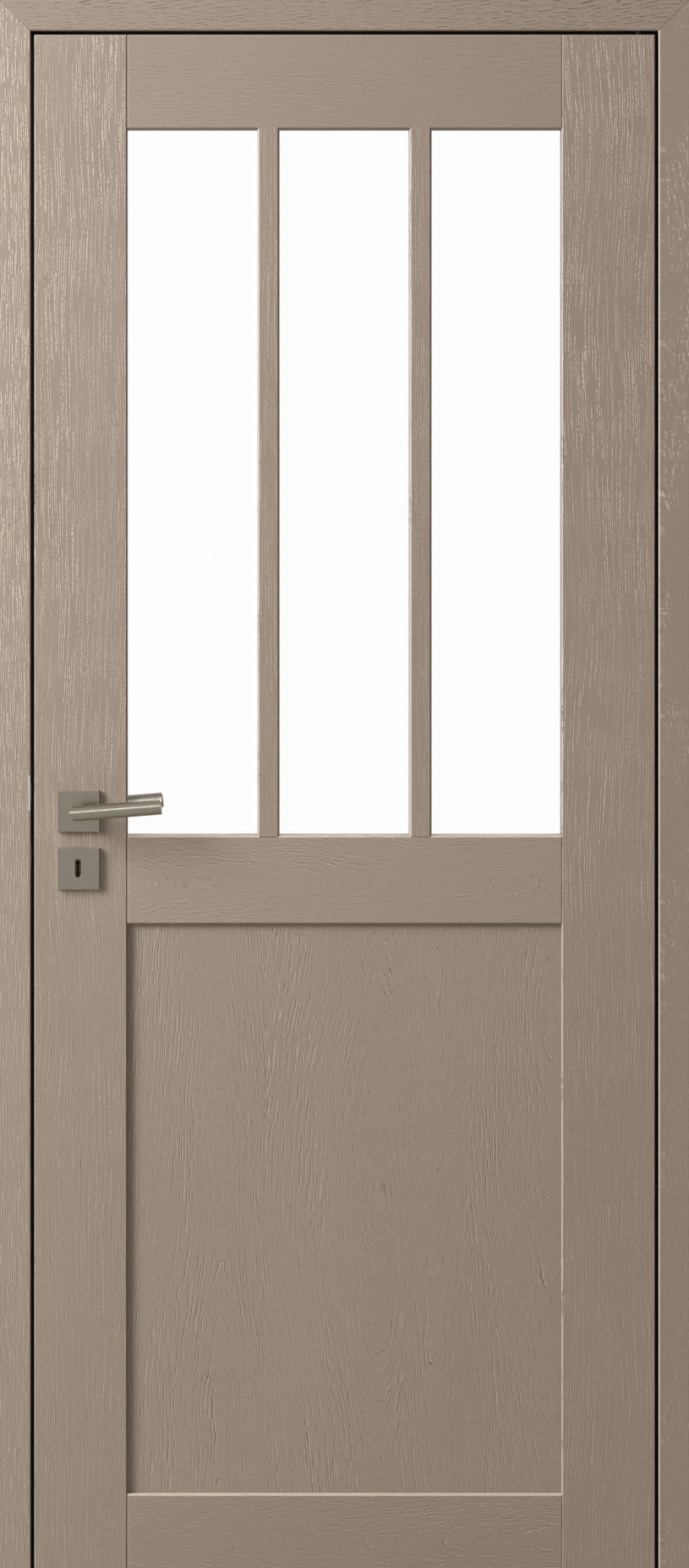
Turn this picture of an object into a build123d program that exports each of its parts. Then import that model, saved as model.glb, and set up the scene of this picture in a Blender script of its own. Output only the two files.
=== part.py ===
"""Glazed interior door: a painted oak stile-and-rail leaf in its rebated frame.

The upper part of the leaf holds three panes between two glazing bars, the lower
part one flat panel. The leaf turns on a hidden pivot at its top and its foot,
and a pair of mitred levers turns on one spindle. All sizes are in millimetres.

The origin is on the outer (wall) face of the hinge jamb, at floor level and half
way through the wall. +X points out of that face, the room side is -Y, +Z is up.
"""

import os
from math import cos, isclose, radians, sin

from build123d import *

# Leaf
leaf_w = 780.0
leaf_h = 2015.0
leaf_t = 40.0
stile_w = 117.0
top_rail_h = 119.0
lock_rail_h = 112.0
bottom_rail_h = 180.0
panel_open_h = 716.0
stile_bevel = 1.8
rail_bevel = 2.4
leaf_arris = 1.0
joint_arris = 0.5
lead_bevel = 1.0

# Joinery of the leaf
groove_w = 10.0
groove_d = 12.0
tongue_gap = 1.0
fit_gap = 0.15
tenon_inset = 20.0
panel_t = 22.0
cut_spare = 1.0

# Glazing
bar_count = 2
bar_w = 28.0
bar_bevel = 2.6
glass_t = 6.0
glass_reveal = 12.0
glass_gap = 1.0
rebate_w = 8.0
bead_bevel = 2.0

# Frame
side_gap = 5.0
floor_gap = 8.0
stop_gap = 10.0
leaf_setback = 1.0
wall_t = 120.0
lining_t = 25.0
stop_h = 15.0
stop_arris = 1.0
casing_w = 70.0
casing_t = 12.0
casing_arris = 1.5
mitre_arris = 0.5
back_reveal = 5.0

# Rubber seal in the shoulder of the stop
seal_w = 9.0
seal_proud = 1.5
seal_round = 0.6
seal_stem_w = 4.0
seal_stem_d = 7.0

# Hidden pivots
pivot_inset = 20.0
pivot_depth = 8.0
pin_d = 7.0
pin_gap = 0.05
pin_reach = 22.0
bush_d = 11.0
bush_h = 25.0
boss_d = 12.0
thrust_gap = 0.3
pivot_plate_t = 4.0
pivot_plate_w = 32.0
pivot_plate_len = 40.0
pivot_plate_lead = 7.0
bracket_h = 60.0
bracket_edge = 2.0

# Lever furniture
handle_h = 1047.0
backset = 55.0
rose_size = 52.0
rose_t = 9.0
rose_arris = 0.6
lever_d = 19.0
lever_reach = 51.0
lever_len = 106.0
lever_rise = 4.5
lever_arris = 0.8
cap_t = 2.4
cap_line = 0.5
neck_gap = 0.3
neck_lift = 1.0
spindle_w = 8.0
spindle_grip = 24.0
spindle_end_gap = 0.5
spindle_hole_d = 20.0
key_drop = 72.0
keyhole_w = 7.6
keyhole_h = 23.0
keyhole_rim = 0.8
key_slot_spare = 1.2

# Mortise lock and strike
forend_w = 20.0
forend_h = 235.0
forend_t = 3.0
forend_sink = 0.8
forend_rise = 67.0
case_t = 15.0
case_h = 165.0
case_deep = 85.0
case_rise = 45.0
case_gap = 0.5
follower_d = 12.5
bolt_t = 10.0
bolt_gap = 0.25
latch_h = 22.0
latch_rise = 22.0
latch_deep = 38.0
latch_slope = 7.0
dead_h = 28.0
dead_drop = 58.0
dead_deep = 45.0
strike_w = 25.0
strike_h = 190.0
strike_t = 2.5
strike_corner = 4.0
strike_drop = 33.0
strike_hole_spare = 1.0
strike_pocket_d = 14.0
lip_h = 48.0
lip_corner = 2.5
lip_round = 1.2

# Planes across the wall, from the room side to the back
wall_front = -wall_t / 2
wall_back = wall_t / 2
casing_front = wall_front - casing_t
leaf_front = casing_front + leaf_setback
leaf_back = leaf_front + leaf_t
leaf_mid = (leaf_front + leaf_back) / 2
shoulder_y = leaf_back + stop_gap
glass_front = leaf_front + glass_reveal
glass_back = glass_front + glass_t

# Planes across the width, from the hinge side to the latch side
hinge_rebate = -lining_t
hinge_stop = hinge_rebate - stop_h
leaf_right = hinge_rebate - side_gap
leaf_left = leaf_right - leaf_w
latch_rebate = leaf_left - side_gap
latch_stop = latch_rebate + stop_h
latch_outer = latch_rebate - lining_t
inner_right = leaf_right - stile_w
inner_left = leaf_left + stile_w
clear_w = inner_right - inner_left
pane_w = (clear_w - bar_count * bar_w) / (bar_count + 1)
pane_lefts = [inner_left + i * (pane_w + bar_w) for i in range(bar_count + 1)]

# Levels
leaf_bottom = floor_gap
leaf_top = leaf_bottom + leaf_h
panel_low = leaf_bottom + bottom_rail_h
panel_high = panel_low + panel_open_h
glass_low = panel_high + lock_rail_h
glass_high = leaf_top - top_rail_h
head_rebate = leaf_top + side_gap
head_stop = head_rebate - stop_h
head_top = head_rebate + lining_t

# Joinery that several pieces share
tongue_len = groove_d - tongue_gap
tongue_half = groove_w / 2 - fit_gap
rail_spans = [
    (leaf_bottom, panel_low),
    (panel_high, glass_low),
    (glass_high, leaf_top),
]

# Axes of what turns, and the places of the bolts
pivot_x = leaf_right - pivot_inset
pivot_y = leaf_front + pivot_depth
pivot_plate_front = pivot_y - pivot_plate_lead
pivot_plate_back = pivot_plate_front + pivot_plate_w
spindle_x = leaf_left + backset
key_z = handle_h - key_drop
latch_z = handle_h + latch_rise
dead_z = handle_h - dead_drop
forend_x = leaf_left + forend_sink
case_x = forend_x + forend_t
case_top = handle_h + case_rise

os.makedirs("parts", exist_ok=True)


def save(part, label):
    """Names a finished piece and writes it as its own node."""
    part.label = label
    export_step(part, f"parts/{label}.step")


def place_box(corner, opposite, mode=Mode.ADD):
    """Adds or takes away the box between two opposite corners."""
    sizes = [abs(b - a) for a, b in zip(corner, opposite)]
    middle = tuple((a + b) / 2 for a, b in zip(corner, opposite))
    with Locations(middle):
        Box(*sizes, mode=mode)


def cut_box(corner, opposite):
    """Takes the box between two opposite corners out of the part being built."""
    place_box(corner, opposite, Mode.SUBTRACT)


def fill_outline(points):
    """Fills a closed outline in the sketch being built, in its own coordinates."""
    Polygon(*points, align=None)


def face_plane(y):
    """Plane parallel to the wall whose normal points to the room side."""
    return Plane.XZ.offset(-y)


# Frame: lining boards with planted stops, grooved for the seal


def lining_blank(outer_x, rebate_x):
    """One side lining board, from the floor to the top of the head."""
    with BuildPart() as blank:
        with BuildSketch(Plane.XY):
            fill_outline(
                [
                    (outer_x, wall_front),
                    (rebate_x, wall_front),
                    (rebate_x, wall_back),
                    (outer_x, wall_back),
                ]
            )
        extrude(amount=head_top)
    return blank.part


def stop_outline(foot, edge):
    """Section of a stop, from its foot on the lining to its free edge, with the seal's groove."""
    groove_mid = (foot + edge) / 2
    half = seal_stem_w / 2 if edge > foot else -seal_stem_w / 2
    ease = stop_arris if edge > foot else -stop_arris
    return [
        (foot, shoulder_y),
        (groove_mid - half, shoulder_y),
        (groove_mid - half, shoulder_y + seal_stem_d),
        (groove_mid + half, shoulder_y + seal_stem_d),
        (groove_mid + half, shoulder_y),
        (edge - ease, shoulder_y),
        (edge, shoulder_y + stop_arris),
        (edge, wall_back - stop_arris),
        (edge - ease, wall_back),
        (foot, wall_back),
    ]


for label, rebate_x, stop_x in (
    ("hinge_stop", hinge_rebate, hinge_stop),
    ("latch_stop", latch_rebate, latch_stop),
):
    with BuildPart() as side_stop:
        with BuildSketch(Plane.XY):
            fill_outline(stop_outline(rebate_x, stop_x))
        extrude(amount=head_rebate)
    save(side_stop.part, label)

with BuildPart() as head_stop_batten:
    with BuildSketch(Plane.YZ.offset(latch_stop)):
        fill_outline([(y, z) for z, y in stop_outline(head_rebate, head_stop)])
    extrude(amount=hinge_stop - latch_stop)
save(head_stop_batten.part, "head_stop")


def strike_blank():
    """The strike plate before its holes, with the lip that reaches the casing's face."""
    with BuildPart() as blank:
        with BuildSketch(Plane.YZ.offset(latch_rebate)) as outline:
            with Locations((leaf_mid, handle_h - strike_drop)):
                RectangleRounded(strike_w, strike_h, strike_corner)
            with Locations(((casing_front + leaf_mid) / 2, latch_z)):
                Rectangle(leaf_mid - casing_front, lip_h)
            fillet(outline.vertices().group_by(Axis.X)[0], lip_corner)
        extrude(amount=-strike_t)
    return blank.part


with BuildPart() as strike_plate:
    add(strike_blank())
    for bolt_z, bolt_h in ((latch_z, latch_h), (dead_z, dead_h)):
        with BuildSketch(Plane.YZ.offset(latch_rebate)):
            with Locations((leaf_mid, bolt_z)):
                Rectangle(bolt_t + 2 * strike_hole_spare, bolt_h + 2 * strike_hole_spare)
        extrude(amount=-strike_t, mode=Mode.SUBTRACT)
    lip_edges = strike_plate.faces().sort_by(Axis.Y)[0].edges().filter_by(Axis.Z)
    fillet(lip_edges.sort_by(Axis.X)[-1], lip_round)
save(strike_plate.part, "strike_plate")

with BuildPart() as hinge_jamb:
    add(lining_blank(0.0, hinge_rebate))
    cut_box(
        (hinge_rebate, wall_front + bracket_edge, 0.0),
        (hinge_rebate + pivot_plate_t, pivot_plate_back, bracket_h),
    )
save(hinge_jamb.part, "hinge_jamb")

with BuildPart() as latch_jamb:
    add(lining_blank(latch_outer, latch_rebate))
    add(strike_blank(), mode=Mode.SUBTRACT)
    for bolt_z, bolt_h in ((latch_z, latch_h), (dead_z, dead_h)):
        with BuildSketch(Plane.YZ.offset(latch_rebate)):
            with Locations((leaf_mid, bolt_z)):
                Rectangle(bolt_t + 2 * strike_hole_spare, bolt_h + 2 * strike_hole_spare)
        extrude(amount=-strike_pocket_d, mode=Mode.SUBTRACT)
save(latch_jamb.part, "latch_jamb")

with BuildPart() as head_jamb:
    place_box((latch_rebate, wall_front, head_rebate), (hinge_rebate, wall_back, head_top))
    cut_box(
        (pivot_x - pivot_plate_len / 2, wall_front, head_rebate),
        (pivot_x + pivot_plate_len / 2, pivot_plate_back, head_rebate + pivot_plate_t),
    )
save(head_jamb.part, "head_jamb")


# Casings: mitred boards on both sides of the wall


def side_casing(inner_x, inner_z, outward, base_y):
    """One upright casing board, mitred at its top; outward is +1 or -1 along X."""
    outer_x = inner_x + outward * casing_w
    with BuildPart() as board:
        with BuildSketch(face_plane(base_y)):
            fill_outline(
                [
                    (inner_x, 0.0),
                    (inner_x, inner_z),
                    (outer_x, inner_z + casing_w),
                    (outer_x, 0.0),
                ]
            )
        extrude(amount=casing_t)
    return board.part


def head_casing(left_x, right_x, inner_z, base_y):
    """The casing board over the opening, mitred at both ends."""
    with BuildPart() as board:
        with BuildSketch(face_plane(base_y)):
            fill_outline(
                [
                    (left_x, inner_z),
                    (right_x, inner_z),
                    (right_x + casing_w, inner_z + casing_w),
                    (left_x - casing_w, inner_z + casing_w),
                ]
            )
        extrude(amount=casing_t)
    return board.part


def ease_casing(board, visible_index):
    """Takes the arrises off the long edges and the mitres of a casing's seen face."""
    with BuildPart() as eased:
        add(board)
        seen = eased.faces().filter_by(Axis.Y).sort_by(Axis.Y)[visible_index]
        leans = [(e, e.tangent_at(0)) for e in seen.edges()]
        mitres = [e for e, run in leans if isclose(abs(run.X), abs(run.Z), rel_tol=1e-3)]
        chamfer(mitres, mitre_arris)
        seen = eased.faces().filter_by(Axis.Y).sort_by(Axis.Y)[visible_index]
        longest = seen.edges().sort_by(SortBy.LENGTH)[-2:]
        chamfer(longest, casing_arris)
    return eased.part


front_left = latch_rebate
front_right = hinge_rebate
back_left = latch_stop - back_reveal
back_right = hinge_stop + back_reveal
back_head = head_stop + back_reveal

with BuildPart() as front_casing_latch:
    add(ease_casing(side_casing(front_left, head_rebate, -1, wall_front), 0))
    add(strike_blank(), mode=Mode.SUBTRACT)
save(front_casing_latch.part, "front_casing_latch")

front_casing_hinge = ease_casing(side_casing(front_right, head_rebate, 1, wall_front), 0)
save(front_casing_hinge, "front_casing_hinge")

with BuildPart() as front_casing_head:
    add(ease_casing(head_casing(front_left, front_right, head_rebate, wall_front), 0))
    cut_box(
        (pivot_x - pivot_plate_len / 2, pivot_plate_front, head_rebate),
        (pivot_x + pivot_plate_len / 2, wall_front, head_rebate + pivot_plate_t),
    )
save(front_casing_head.part, "front_casing_head")

back_face = wall_back + casing_t
back_casing_latch = ease_casing(side_casing(back_left, back_head, -1, back_face), -1)
save(back_casing_latch, "back_casing_latch")
back_casing_hinge = ease_casing(side_casing(back_right, back_head, 1, back_face), -1)
save(back_casing_hinge, "back_casing_hinge")
back_casing_head = ease_casing(head_casing(back_left, back_right, back_head, back_face), -1)
save(back_casing_head, "back_casing_head")


# Seals in the shoulders of the stops


def seal_outline(mid):
    """Section of the seal: a flat lip with a stem, along the first sketch axis."""
    stem_half = seal_stem_w / 2 - fit_gap
    stem_end = shoulder_y + seal_stem_d - fit_gap
    return [
        (mid - seal_w / 2, shoulder_y),
        (mid - seal_w / 2, shoulder_y - seal_proud + seal_round),
        (mid - seal_w / 2 + seal_round, shoulder_y - seal_proud),
        (mid + seal_w / 2 - seal_round, shoulder_y - seal_proud),
        (mid + seal_w / 2, shoulder_y - seal_proud + seal_round),
        (mid + seal_w / 2, shoulder_y),
        (mid + stem_half, shoulder_y),
        (mid + stem_half, stem_end),
        (mid - stem_half, stem_end),
        (mid - stem_half, shoulder_y),
    ]


for label, rebate_x, stop_x in (
    ("hinge_seal", hinge_rebate, hinge_stop),
    ("latch_seal", latch_rebate, latch_stop),
):
    with BuildPart() as seal:
        with BuildSketch(Plane.XY):
            fill_outline(seal_outline((rebate_x + stop_x) / 2))
        extrude(amount=head_rebate)
    save(seal.part, label)

with BuildPart() as head_seal:
    with BuildSketch(Plane.YZ.offset(latch_stop)):
        fill_outline([(y, z) for z, y in seal_outline((head_stop + head_rebate) / 2)])
    extrude(amount=hinge_stop - latch_stop)
save(head_seal.part, "head_seal")


# Hidden pivots: a pin over the leaf, a bracket with a pin under it


with BuildPart() as top_pivot_plate:
    place_box(
        (pivot_x - pivot_plate_len / 2, pivot_plate_front, head_rebate),
        (pivot_x + pivot_plate_len / 2, pivot_plate_back, head_rebate + pivot_plate_t),
    )
    with BuildSketch(Plane.XY.offset(head_rebate)):
        with Locations((pivot_x, pivot_y)):
            Circle(pin_d / 2)
    extrude(amount=leaf_top - pin_reach - head_rebate)
save(top_pivot_plate.part, "top_pivot_plate")

with BuildPart() as bottom_pivot_bracket:
    with BuildSketch(face_plane(pivot_plate_back)):
        fill_outline(
            [
                (pivot_x - boss_d, 0.0),
                (hinge_rebate + pivot_plate_t, 0.0),
                (hinge_rebate + pivot_plate_t, bracket_h),
                (hinge_rebate, bracket_h),
                (hinge_rebate, pivot_plate_t),
                (pivot_x - boss_d, pivot_plate_t),
            ]
        )
    extrude(amount=pivot_plate_back - wall_front - bracket_edge)
    place_box(
        (pivot_x - boss_d, pivot_plate_front, 0.0),
        (hinge_rebate, wall_front + bracket_edge, pivot_plate_t),
    )
    for rod_d, rod_top in ((boss_d, leaf_bottom - thrust_gap), (pin_d, leaf_bottom + pin_reach)):
        with BuildSketch(Plane.XY.offset(pivot_plate_t)):
            with Locations((pivot_x, pivot_y)):
                Circle(rod_d / 2)
        extrude(amount=rod_top - pivot_plate_t)
save(bottom_pivot_bracket.part, "bottom_pivot_bracket")

for label, bush_low in (("top_pivot_bush", leaf_top - bush_h), ("bottom_pivot_bush", leaf_bottom)):
    with BuildPart() as bush:
        with BuildSketch(Plane.XY.offset(bush_low)):
            with Locations((pivot_x, pivot_y)):
                Circle(bush_d / 2)
                Circle(pin_d / 2 + pin_gap, mode=Mode.SUBTRACT)
        extrude(amount=bush_h)
    save(bush.part, label)


# Leaf: stiles, rails, panel


def stile_blank(outer_x, inner_x, lead):
    """One stile with its grooves, mortises and glazing rebate."""
    inward = 1.0 if inner_x > outer_x else -1.0
    back_x = outer_x + inward * lead
    with BuildPart() as blank:
        with BuildSketch(Plane.XY.offset(leaf_bottom)):
            fill_outline(
                [
                    (outer_x + inward * leaf_arris, leaf_front),
                    (inner_x - inward * stile_bevel, leaf_front),
                    (inner_x, leaf_front + stile_bevel),
                    (inner_x, leaf_back - stile_bevel),
                    (inner_x - inward * stile_bevel, leaf_back),
                    (back_x + inward * leaf_arris, leaf_back),
                    (back_x, leaf_back - leaf_arris),
                    (outer_x, leaf_front + leaf_arris),
                ]
            )
        extrude(amount=leaf_h)
        ends = blank.faces().filter_by(Axis.Z)
        chamfer(ends.edges().filter_by(Axis.X), leaf_arris)
        groove_x = inner_x - inward * groove_d
        groove_front = leaf_mid - groove_w / 2
        groove_back = leaf_mid + groove_w / 2
        cut_box(
            (inner_x, groove_front, panel_low - groove_d),
            (groove_x, groove_back, panel_high + groove_d),
        )
        for low, high in rail_spans:
            cut_box(
                (inner_x, groove_front, low + tenon_inset),
                (groove_x, groove_back, high - tenon_inset),
            )
        cut_box(
            (inner_x, glass_front, glass_low - rebate_w),
            (inner_x - inward * rebate_w, leaf_back, glass_high + rebate_w),
        )
    return blank.part


def slot_sketch(plane, across, up, width, height):
    """An upright slot with round ends, on a plane, at a place on it."""
    with BuildSketch(plane) as slot:
        with Locations((across, up)):
            SlotOverall(height, width, rotation=90)
    return slot.sketch


with BuildPart() as hinge_stile:
    add(stile_blank(leaf_right, inner_right, 0.0))
    for bush_low in (leaf_top - bush_h, leaf_bottom):
        with BuildSketch(Plane.XY.offset(bush_low)):
            with Locations((pivot_x, pivot_y)):
                Circle(bush_d / 2)
        extrude(amount=bush_h, mode=Mode.SUBTRACT)
save(hinge_stile.part, "hinge_stile")

forend_z = handle_h + forend_rise - forend_h / 2

with BuildPart() as latch_stile:
    add(stile_blank(leaf_left, inner_left, lead_bevel))
    forend_seat = slot_sketch(Plane.YZ.offset(case_x), leaf_mid, forend_z, forend_w, forend_h)
    extrude(forend_seat, amount=leaf_left - cut_spare - case_x, mode=Mode.SUBTRACT)
    cut_box(
        (case_x, leaf_mid - case_t / 2 - case_gap, case_top - case_h - case_gap),
        (case_x + case_deep + case_gap, leaf_mid + case_t / 2 + case_gap, case_top + case_gap),
    )
    with BuildSketch(face_plane(leaf_back)):
        with Locations((spindle_x, handle_h)):
            Circle(spindle_hole_d / 2)
    extrude(amount=leaf_t, mode=Mode.SUBTRACT)
    slot_w = keyhole_w + 2 * key_slot_spare
    slot_h = keyhole_h + 2 * key_slot_spare
    key_slot = slot_sketch(face_plane(leaf_back), spindle_x, key_z, slot_w, slot_h)
    extrude(key_slot, amount=leaf_t, mode=Mode.SUBTRACT)
save(latch_stile.part, "latch_stile")


def rail_edge(kind, edge_z, into):
    """Points of one long edge of a rail, from its front face to its back face."""
    if kind == "outer":
        return [
            (leaf_front, edge_z + into * leaf_arris),
            (leaf_front + leaf_arris, edge_z),
            (leaf_back - leaf_arris, edge_z),
            (leaf_back, edge_z + into * leaf_arris),
        ]
    if kind == "panel":
        return [
            (leaf_front, edge_z + into * rail_bevel),
            (leaf_front + rail_bevel, edge_z),
            (leaf_mid - groove_w / 2, edge_z),
            (leaf_mid - groove_w / 2, edge_z + into * groove_d),
            (leaf_mid + groove_w / 2, edge_z + into * groove_d),
            (leaf_mid + groove_w / 2, edge_z),
            (leaf_back - rail_bevel, edge_z),
            (leaf_back, edge_z + into * rail_bevel),
        ]
    return [
        (leaf_front, edge_z + into * rail_bevel),
        (leaf_front + rail_bevel, edge_z),
        (glass_front, edge_z),
        (glass_front, edge_z + into * rebate_w),
        (leaf_back, edge_z + into * rebate_w),
    ]


for label, span, low_kind, high_kind in (
    ("bottom_rail", rail_spans[0], "outer", "panel"),
    ("lock_rail", rail_spans[1], "panel", "glass"),
    ("top_rail", rail_spans[2], "glass", "outer"),
):
    with BuildPart() as rail:
        with BuildSketch(Plane.YZ.offset(inner_left)):
            upper_edge = rail_edge(high_kind, span[1], -1.0)
            lower_edge = rail_edge(low_kind, span[0], 1.0)
            fill_outline(upper_edge + lower_edge[::-1])
        extrude(amount=clear_w)
        end_edges = rail.edges().filter_by(Axis.Z)
        chamfer(end_edges.group_by(Axis.Y)[0] + end_edges.group_by(Axis.Y)[-1], joint_arris)
        for end_x, outward in ((inner_left, -1.0), (inner_right, 1.0)):
            place_box(
                (end_x, leaf_mid - tongue_half, span[0] + tenon_inset + fit_gap),
                (end_x + outward * tongue_len, leaf_mid + tongue_half, span[1] - tenon_inset - fit_gap),
            )
    save(rail.part, label)

with BuildPart() as lower_panel:
    place_box(
        (inner_left, leaf_mid - panel_t / 2, panel_low),
        (inner_right, leaf_mid + panel_t / 2, panel_high),
    )
    place_box(
        (inner_left - tongue_len, leaf_mid - tongue_half, panel_low - tongue_len),
        (inner_right + tongue_len, leaf_mid + tongue_half, panel_high + tongue_len),
    )
save(lower_panel.part, "lower_panel")


# Glazing: coped bars, panes, mitred beads


for label, pane_left in zip(("glazing_bar_left", "glazing_bar_right"), pane_lefts[1:]):
    bar_left = pane_left - bar_w
    with BuildPart() as bar:
        with BuildSketch(Plane.YZ.offset(bar_left)):
            fill_outline(
                [
                    (leaf_front, glass_low - rail_bevel),
                    (leaf_front + rail_bevel, glass_low),
                    (glass_front, glass_low),
                    (glass_front, glass_low - rebate_w),
                    (leaf_back, glass_low - rebate_w),
                    (leaf_back, glass_high + rebate_w),
                    (glass_front, glass_high + rebate_w),
                    (glass_front, glass_high),
                    (leaf_front + rail_bevel, glass_high),
                    (leaf_front, glass_high + rail_bevel),
                ]
            )
        extrude(amount=bar_w)
        chamfer(bar.edges().filter_by(Axis.Z).group_by(Axis.Y)[0], bar_bevel)
        for side_x, inward in ((bar_left, 1.0), (bar_left + bar_w, -1.0)):
            cut_box(
                (side_x, glass_front, glass_low - rebate_w),
                (side_x + inward * rebate_w, leaf_back, glass_high + rebate_w),
            )
    save(bar.part, label)

glass_lap = rebate_w - glass_gap
for label, pane_left in zip(("glass_left", "glass_middle", "glass_right"), pane_lefts):
    with BuildPart() as pane:
        place_box(
            (pane_left - glass_lap, glass_front, glass_low - glass_lap),
            (pane_left + pane_w + glass_lap, glass_back, glass_high + glass_lap),
        )
    save(pane.part, label)


def bead_outline(side, pane_left):
    """The mitred outline of one bead of a pane, seen from the room side."""
    inner = [
        (pane_left, glass_low),
        (pane_left + pane_w, glass_low),
        (pane_left + pane_w, glass_high),
        (pane_left, glass_high),
    ]
    outer = [
        (pane_left - rebate_w, glass_low - rebate_w),
        (pane_left + pane_w + rebate_w, glass_low - rebate_w),
        (pane_left + pane_w + rebate_w, glass_high + rebate_w),
        (pane_left - rebate_w, glass_high + rebate_w),
    ]
    first = ("bottom", "right", "top", "left").index(side)
    second = (first + 1) % 4
    return [outer[first], outer[second], inner[second], inner[first]]


for side, run in (("bottom", Axis.X), ("right", Axis.Z), ("top", Axis.X), ("left", Axis.Z)):
    with BuildPart() as beads:
        with BuildSketch(face_plane(leaf_back)):
            for pane_left in pane_lefts:
                fill_outline(bead_outline(side, pane_left))
        extrude(amount=leaf_back - glass_back)
        back_edges = beads.edges().filter_by(run).group_by(Axis.Y)[-1]
        chamfer(back_edges.group_by(SortBy.LENGTH)[0], bead_bevel)
    save(beads.part, f"glazing_beads_{side}")


# Lock: forend and case in one, with the two bolts drawn in


with BuildPart() as mortise_lock:
    forend = slot_sketch(Plane.YZ.offset(forend_x), leaf_mid, forend_z, forend_w, forend_h)
    extrude(forend, amount=forend_t)
    place_box(
        (case_x, leaf_mid - case_t / 2, case_top - case_h),
        (case_x + case_deep, leaf_mid + case_t / 2, case_top),
    )
    for bolt_z, bolt_h, bolt_deep in ((latch_z, latch_h, latch_deep), (dead_z, dead_h, dead_deep)):
        cut_box(
            (forend_x, leaf_mid - bolt_t / 2 - bolt_gap, bolt_z - bolt_h / 2 - bolt_gap),
            (
                forend_x + bolt_deep + bolt_gap,
                leaf_mid + bolt_t / 2 + bolt_gap,
                bolt_z + bolt_h / 2 + bolt_gap,
            ),
        )
    with BuildSketch(face_plane(leaf_mid + case_t / 2)):
        with Locations((spindle_x, handle_h)):
            Circle(follower_d / 2)
    extrude(amount=case_t, mode=Mode.SUBTRACT)
    case_back = face_plane(leaf_mid + case_t / 2)
    extrude(
        slot_sketch(case_back, spindle_x, key_z, keyhole_w, keyhole_h),
        amount=case_t,
        mode=Mode.SUBTRACT,
    )
save(mortise_lock.part, "mortise_lock")

with BuildPart() as latch_bolt:
    with BuildSketch(Plane.XY.offset(latch_z - latch_h / 2)):
        fill_outline(
            [
                (forend_x, leaf_mid + bolt_t / 2),
                (forend_x + latch_slope, leaf_mid - bolt_t / 2),
                (forend_x + latch_deep, leaf_mid - bolt_t / 2),
                (forend_x + latch_deep, leaf_mid + bolt_t / 2),
            ]
        )
    extrude(amount=latch_h)
save(latch_bolt.part, "latch_bolt")

with BuildPart() as dead_bolt:
    place_box(
        (forend_x, leaf_mid - bolt_t / 2, dead_z - dead_h / 2),
        (forend_x + dead_deep, leaf_mid + bolt_t / 2, dead_z + dead_h / 2),
    )
save(dead_bolt.part, "dead_bolt")


# Furniture: square roses and escutcheons, mitred levers on one spindle


def rose_blank(base_y, middle_z, hole):
    """A square plate with a hole through it, its room-side arrises taken off."""
    with BuildPart() as blank:
        with BuildSketch(face_plane(base_y)):
            with Locations((spindle_x, middle_z)):
                Rectangle(rose_size, rose_size)
        extrude(amount=rose_t)
        seen = blank.faces().sort_by(Axis.Y)[0]
        chamfer(seen.edges(), rose_arris)
        extrude(hole, amount=rose_t, mode=Mode.SUBTRACT)
    return blank.part


with BuildSketch(face_plane(leaf_front)) as neck_hole:
    with Locations((spindle_x, handle_h)):
        Circle(lever_d / 2 + neck_gap)
front_rose = rose_blank(leaf_front, handle_h, neck_hole.sketch)
save(front_rose, "front_rose")

keyhole = slot_sketch(face_plane(leaf_front), spindle_x, key_z, keyhole_w, keyhole_h)
with BuildPart() as front_escutcheon:
    add(rose_blank(leaf_front, key_z, keyhole))
    seen = front_escutcheon.faces().filter_by(Axis.Y).sort_by(Axis.Y)[0]
    chamfer(seen.inner_wires()[0].edges(), keyhole_rim)
save(front_escutcheon.part, "front_escutcheon")

mid_plane = Plane.XZ.offset(-leaf_mid)
back_rose = mirror(front_rose, about=mid_plane)
save(back_rose, "back_rose")
back_escutcheon = mirror(front_escutcheon.part, about=mid_plane)
save(back_escutcheon, "back_escutcheon")

grip_run = (cos(radians(lever_rise)), 0.0, sin(radians(lever_rise)))
neck_start = Vector(spindle_x, leaf_front - neck_lift, handle_h)
neck_end = Vector(spindle_x, leaf_front - lever_reach, handle_h)
grip_end = neck_end + Vector(*grip_run) * lever_len
neck_plane = Plane(origin=neck_start, x_dir=grip_run, z_dir=(0.0, -1.0, 0.0))

with BuildPart() as front_lever:
    with BuildLine():
        Polyline(neck_start, neck_end, grip_end)
    with BuildSketch(neck_plane):
        Circle(lever_d / 2)
    sweep(transition=Transition.RIGHT)
    chamfer(front_lever.faces().sort_by(Axis.X)[-1].edges(), lever_arris)
    with BuildSketch(neck_plane):
        Rectangle(spindle_w, spindle_w)
    extrude(amount=spindle_grip, mode=Mode.SUBTRACT)
    with BuildSketch(Plane(origin=grip_end - Vector(*grip_run) * cap_t, z_dir=grip_run)):
        Circle(lever_d / 2)
        Circle(lever_d / 2 - cap_line, mode=Mode.SUBTRACT)
    extrude(amount=-cap_line, mode=Mode.SUBTRACT)
save(front_lever.part, "front_lever")

back_lever = mirror(front_lever.part, about=mid_plane)
save(back_lever, "back_lever")

spindle_half = leaf_t / 2 + neck_lift + spindle_grip - spindle_end_gap
spindle_plane = Plane(
    origin=(spindle_x, leaf_mid, handle_h), x_dir=grip_run, z_dir=(0.0, -1.0, 0.0)
)
with BuildPart() as spindle:
    with BuildSketch(spindle_plane):
        Rectangle(spindle_w, spindle_w)
    extrude(amount=spindle_half, both=True)
save(spindle.part, "spindle")
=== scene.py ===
"""Finishes for a glazed interior door: open-grain paint, clear panes, satin steel, and a plain stage."""

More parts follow.
